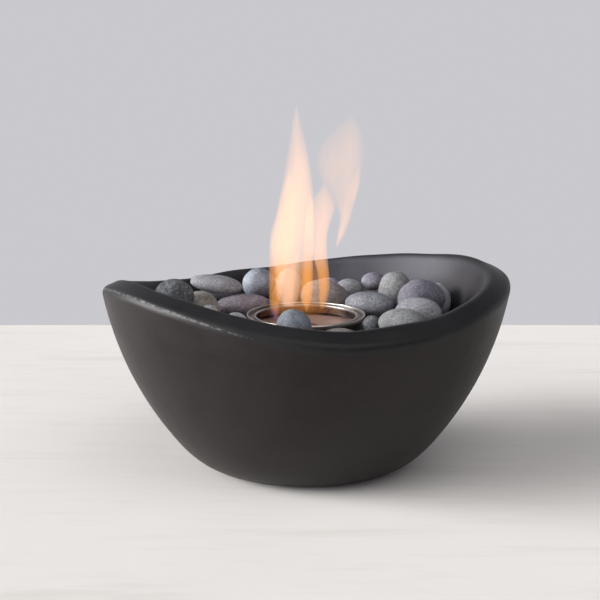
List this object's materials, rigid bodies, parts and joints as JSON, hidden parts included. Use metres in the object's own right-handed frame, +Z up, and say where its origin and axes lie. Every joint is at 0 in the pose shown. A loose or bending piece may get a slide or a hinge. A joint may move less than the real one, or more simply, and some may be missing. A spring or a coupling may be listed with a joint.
{
  "type": "tabletop fire bowl",
  "caption": "Tabletop fire bowl: a deep round cast bowl with a wavy rim, filled with river stones round a gel fuel can that burns with an open flame.",
  "frame": {"origin": "on the table under the middle of the bowl, in the plane that the foot pads stand on", "axes": "+Z is up. +X runs along the two high points of the rim, towards the lower one. +Y completes a right-handed set, towards the lower of the two low points. The picture looks from 27 degrees to the left of straight along +Y."},
  "size_m": [0.2921, 0.2823, 0.259],
  "materials": {
    "charcoal_casting": "matte, finely mottled, like cast concrete",
    "pad_rubber": "matte",
    "can_steel": "bright tinned steel",
    "gel": "wet gel",
    "burning_gas": "see-through burning gas",
    "mauve": "matte river pebble",
    "pale_grey": "matte river pebble",
    "slate": "matte river pebble",
    "brown_grey": "matte river pebble",
    "speckled_dark": "matte river pebble",
    "rose_grey": "matte river pebble",
    "blue_grey": "matte river pebble",
    "speckled_grey": "matte river pebble",
    "purple_grey": "matte river pebble",
    "green_grey": "matte river pebble",
    "olive": "matte river pebble"
  },
  "bodies": {
    "bowl_and_bed": {"bowl": "charcoal_casting", "foot_pads": "pad_rubber", "bed_stone_01": "slate", "bed_stone_02": "brown_grey", "bed_stone_03": "blue_grey", "bed_stone_04": "mauve", "bed_stone_05": "speckled_dark", "bed_stone_06": "olive", "bed_stone_07": "purple_grey", "bed_stone_08": "slate", "bed_stone_09": "brown_grey", "bed_stone_10": "blue_grey", "bed_stone_11": "mauve", "bed_stone_12": "speckled_dark", "bed_stone_13": "olive", "bed_stone_14": "purple_grey", "bed_stone_15": "slate", "bed_stone_16": "brown_grey", "bed_stone_17": "blue_grey", "bed_stone_18": "mauve", "bed_stone_19": "speckled_dark", "bed_stone_20": "olive", "bed_stone_21": "purple_grey", "edge_stone_09": "brown_grey", "stone_01": "mauve", "stone_07": "rose_grey", "stone_09": "speckled_grey", "stone_18": "olive"},
    "fuel_can": {"can_body": "can_steel", "can_base": "can_steel", "can_ring": "can_steel", "gel_fuel": "gel", "flame": "burning_gas"},
    "loose_edge_stone_01": {"edge_stone_01": "slate"},
    "loose_edge_stone_02": {"edge_stone_02": "brown_grey"},
    "loose_edge_stone_03": {"edge_stone_03": "blue_grey"},
    "loose_edge_stone_04": {"edge_stone_04": "mauve"},
    "loose_edge_stone_05": {"edge_stone_05": "speckled_dark"},
    "loose_edge_stone_06": {"edge_stone_06": "olive"},
    "loose_edge_stone_07": {"edge_stone_07": "purple_grey"},
    "loose_edge_stone_08": {"edge_stone_08": "slate"},
    "loose_stone_02": {"stone_02": "pale_grey"},
    "loose_stone_03": {"stone_03": "slate"},
    "loose_stone_04": {"stone_04": "brown_grey"},
    "loose_stone_05": {"stone_05": "speckled_dark"},
    "loose_stone_06": {"stone_06": "brown_grey"},
    "loose_stone_08": {"stone_08": "blue_grey"},
    "loose_stone_10": {"stone_10": "purple_grey"},
    "loose_stone_11": {"stone_11": "green_grey"},
    "loose_stone_12": {"stone_12": "pale_grey"},
    "loose_stone_13": {"stone_13": "purple_grey"},
    "loose_stone_14": {"stone_14": "speckled_grey"},
    "loose_stone_15": {"stone_15": "green_grey"},
    "loose_stone_16": {"stone_16": "pale_grey"},
    "loose_stone_17": {"stone_17": "blue_grey"},
    "loose_stone_19": {"stone_19": "slate"},
    "loose_stone_20": {"stone_20": "pale_grey"},
    "loose_stone_21": {"stone_21": "speckled_grey"}
  },
  "joints": [
    {"name": "fuel_can_lift", "type": "slide", "parent": "bowl_and_bed", "child": "fuel_can", "axis": [0, 0, 1], "range_m": [0, 0.125]},
    {"name": "edge_stone_01_lift", "type": "slide", "parent": "bowl_and_bed", "child": "loose_edge_stone_01", "axis": [0, 0, 1], "range_m": [0, 0.06]},
    {"name": "edge_stone_02_lift", "type": "slide", "parent": "bowl_and_bed", "child": "loose_edge_stone_02", "axis": [0, 0, 1], "range_m": [0, 0.06]},
    {"name": "edge_stone_03_lift", "type": "slide", "parent": "bowl_and_bed", "child": "loose_edge_stone_03", "axis": [0, 0, 1], "range_m": [0, 0.06]},
    {"name": "edge_stone_04_lift", "type": "slide", "parent": "bowl_and_bed", "child": "loose_edge_stone_04", "axis": [0, 0, 1], "range_m": [0, 0.06]},
    {"name": "edge_stone_05_lift", "type": "slide", "parent": "bowl_and_bed", "child": "loose_edge_stone_05", "axis": [0, 0, 1], "range_m": [0, 0.06]},
    {"name": "edge_stone_06_lift", "type": "slide", "parent": "bowl_and_bed", "child": "loose_edge_stone_06", "axis": [0, 0, 1], "range_m": [0, 0.06]},
    {"name": "edge_stone_07_lift", "type": "slide", "parent": "bowl_and_bed", "child": "loose_edge_stone_07", "axis": [0, 0, 1], "range_m": [0, 0.06]},
    {"name": "edge_stone_08_lift", "type": "slide", "parent": "bowl_and_bed", "child": "loose_edge_stone_08", "axis": [0, 0, 1], "range_m": [0, 0.06]},
    {"name": "stone_02_lift", "type": "slide", "parent": "bowl_and_bed", "child": "loose_stone_02", "axis": [0, 0, 1], "range_m": [0, 0.06]},
    {"name": "stone_03_lift", "type": "slide", "parent": "bowl_and_bed", "child": "loose_stone_03", "axis": [0, 0, 1], "range_m": [0, 0.06]},
    {"name": "stone_04_lift", "type": "slide", "parent": "bowl_and_bed", "child": "loose_stone_04", "axis": [0, 0, 1], "range_m": [0, 0.06]},
    {"name": "stone_05_lift", "type": "slide", "parent": "bowl_and_bed", "child": "loose_stone_05", "axis": [0, 0, 1], "range_m": [0, 0.06]},
    {"name": "stone_06_lift", "type": "slide", "parent": "bowl_and_bed", "child": "loose_stone_06", "axis": [0, 0, 1], "range_m": [0, 0.06]},
    {"name": "stone_08_lift", "type": "slide", "parent": "bowl_and_bed", "child": "loose_stone_08", "axis": [0, 0, 1], "range_m": [0, 0.06]},
    {"name": "stone_10_lift", "type": "slide", "parent": "bowl_and_bed", "child": "loose_stone_10", "axis": [0, 0, 1], "range_m": [0, 0.06]},
    {"name": "stone_11_lift", "type": "slide", "parent": "bowl_and_bed", "child": "loose_stone_11", "axis": [0, 0, 1], "range_m": [0, 0.06]},
    {"name": "stone_12_lift", "type": "slide", "parent": "bowl_and_bed", "child": "loose_stone_12", "axis": [0, 0, 1], "range_m": [0, 0.06]},
    {"name": "stone_13_lift", "type": "slide", "parent": "bowl_and_bed", "child": "loose_stone_13", "axis": [0, 0, 1], "range_m": [0, 0.06]},
    {"name": "stone_14_lift", "type": "slide", "parent": "bowl_and_bed", "child": "loose_stone_14", "axis": [0, 0, 1], "range_m": [0, 0.06]},
    {"name": "stone_15_lift", "type": "slide", "parent": "bowl_and_bed", "child": "loose_stone_15", "axis": [0, 0, 1], "range_m": [0, 0.06]},
    {"name": "stone_16_lift", "type": "slide", "parent": "bowl_and_bed", "child": "loose_stone_16", "axis": [0, 0, 1], "range_m": [0, 0.06]},
    {"name": "stone_17_lift", "type": "slide", "parent": "bowl_and_bed", "child": "loose_stone_17", "axis": [0, 0, 1], "range_m": [0, 0.06]},
    {"name": "stone_19_lift", "type": "slide", "parent": "bowl_and_bed", "child": "loose_stone_19", "axis": [0, 0, 1], "range_m": [0, 0.06]},
    {"name": "stone_20_lift", "type": "slide", "parent": "bowl_and_bed", "child": "loose_stone_20", "axis": [0, 0, 1], "range_m": [0, 0.06]},
    {"name": "stone_21_lift", "type": "slide", "parent": "bowl_and_bed", "child": "loose_stone_21", "axis": [0, 0, 1], "range_m": [0, 0.06]}
  ]
}
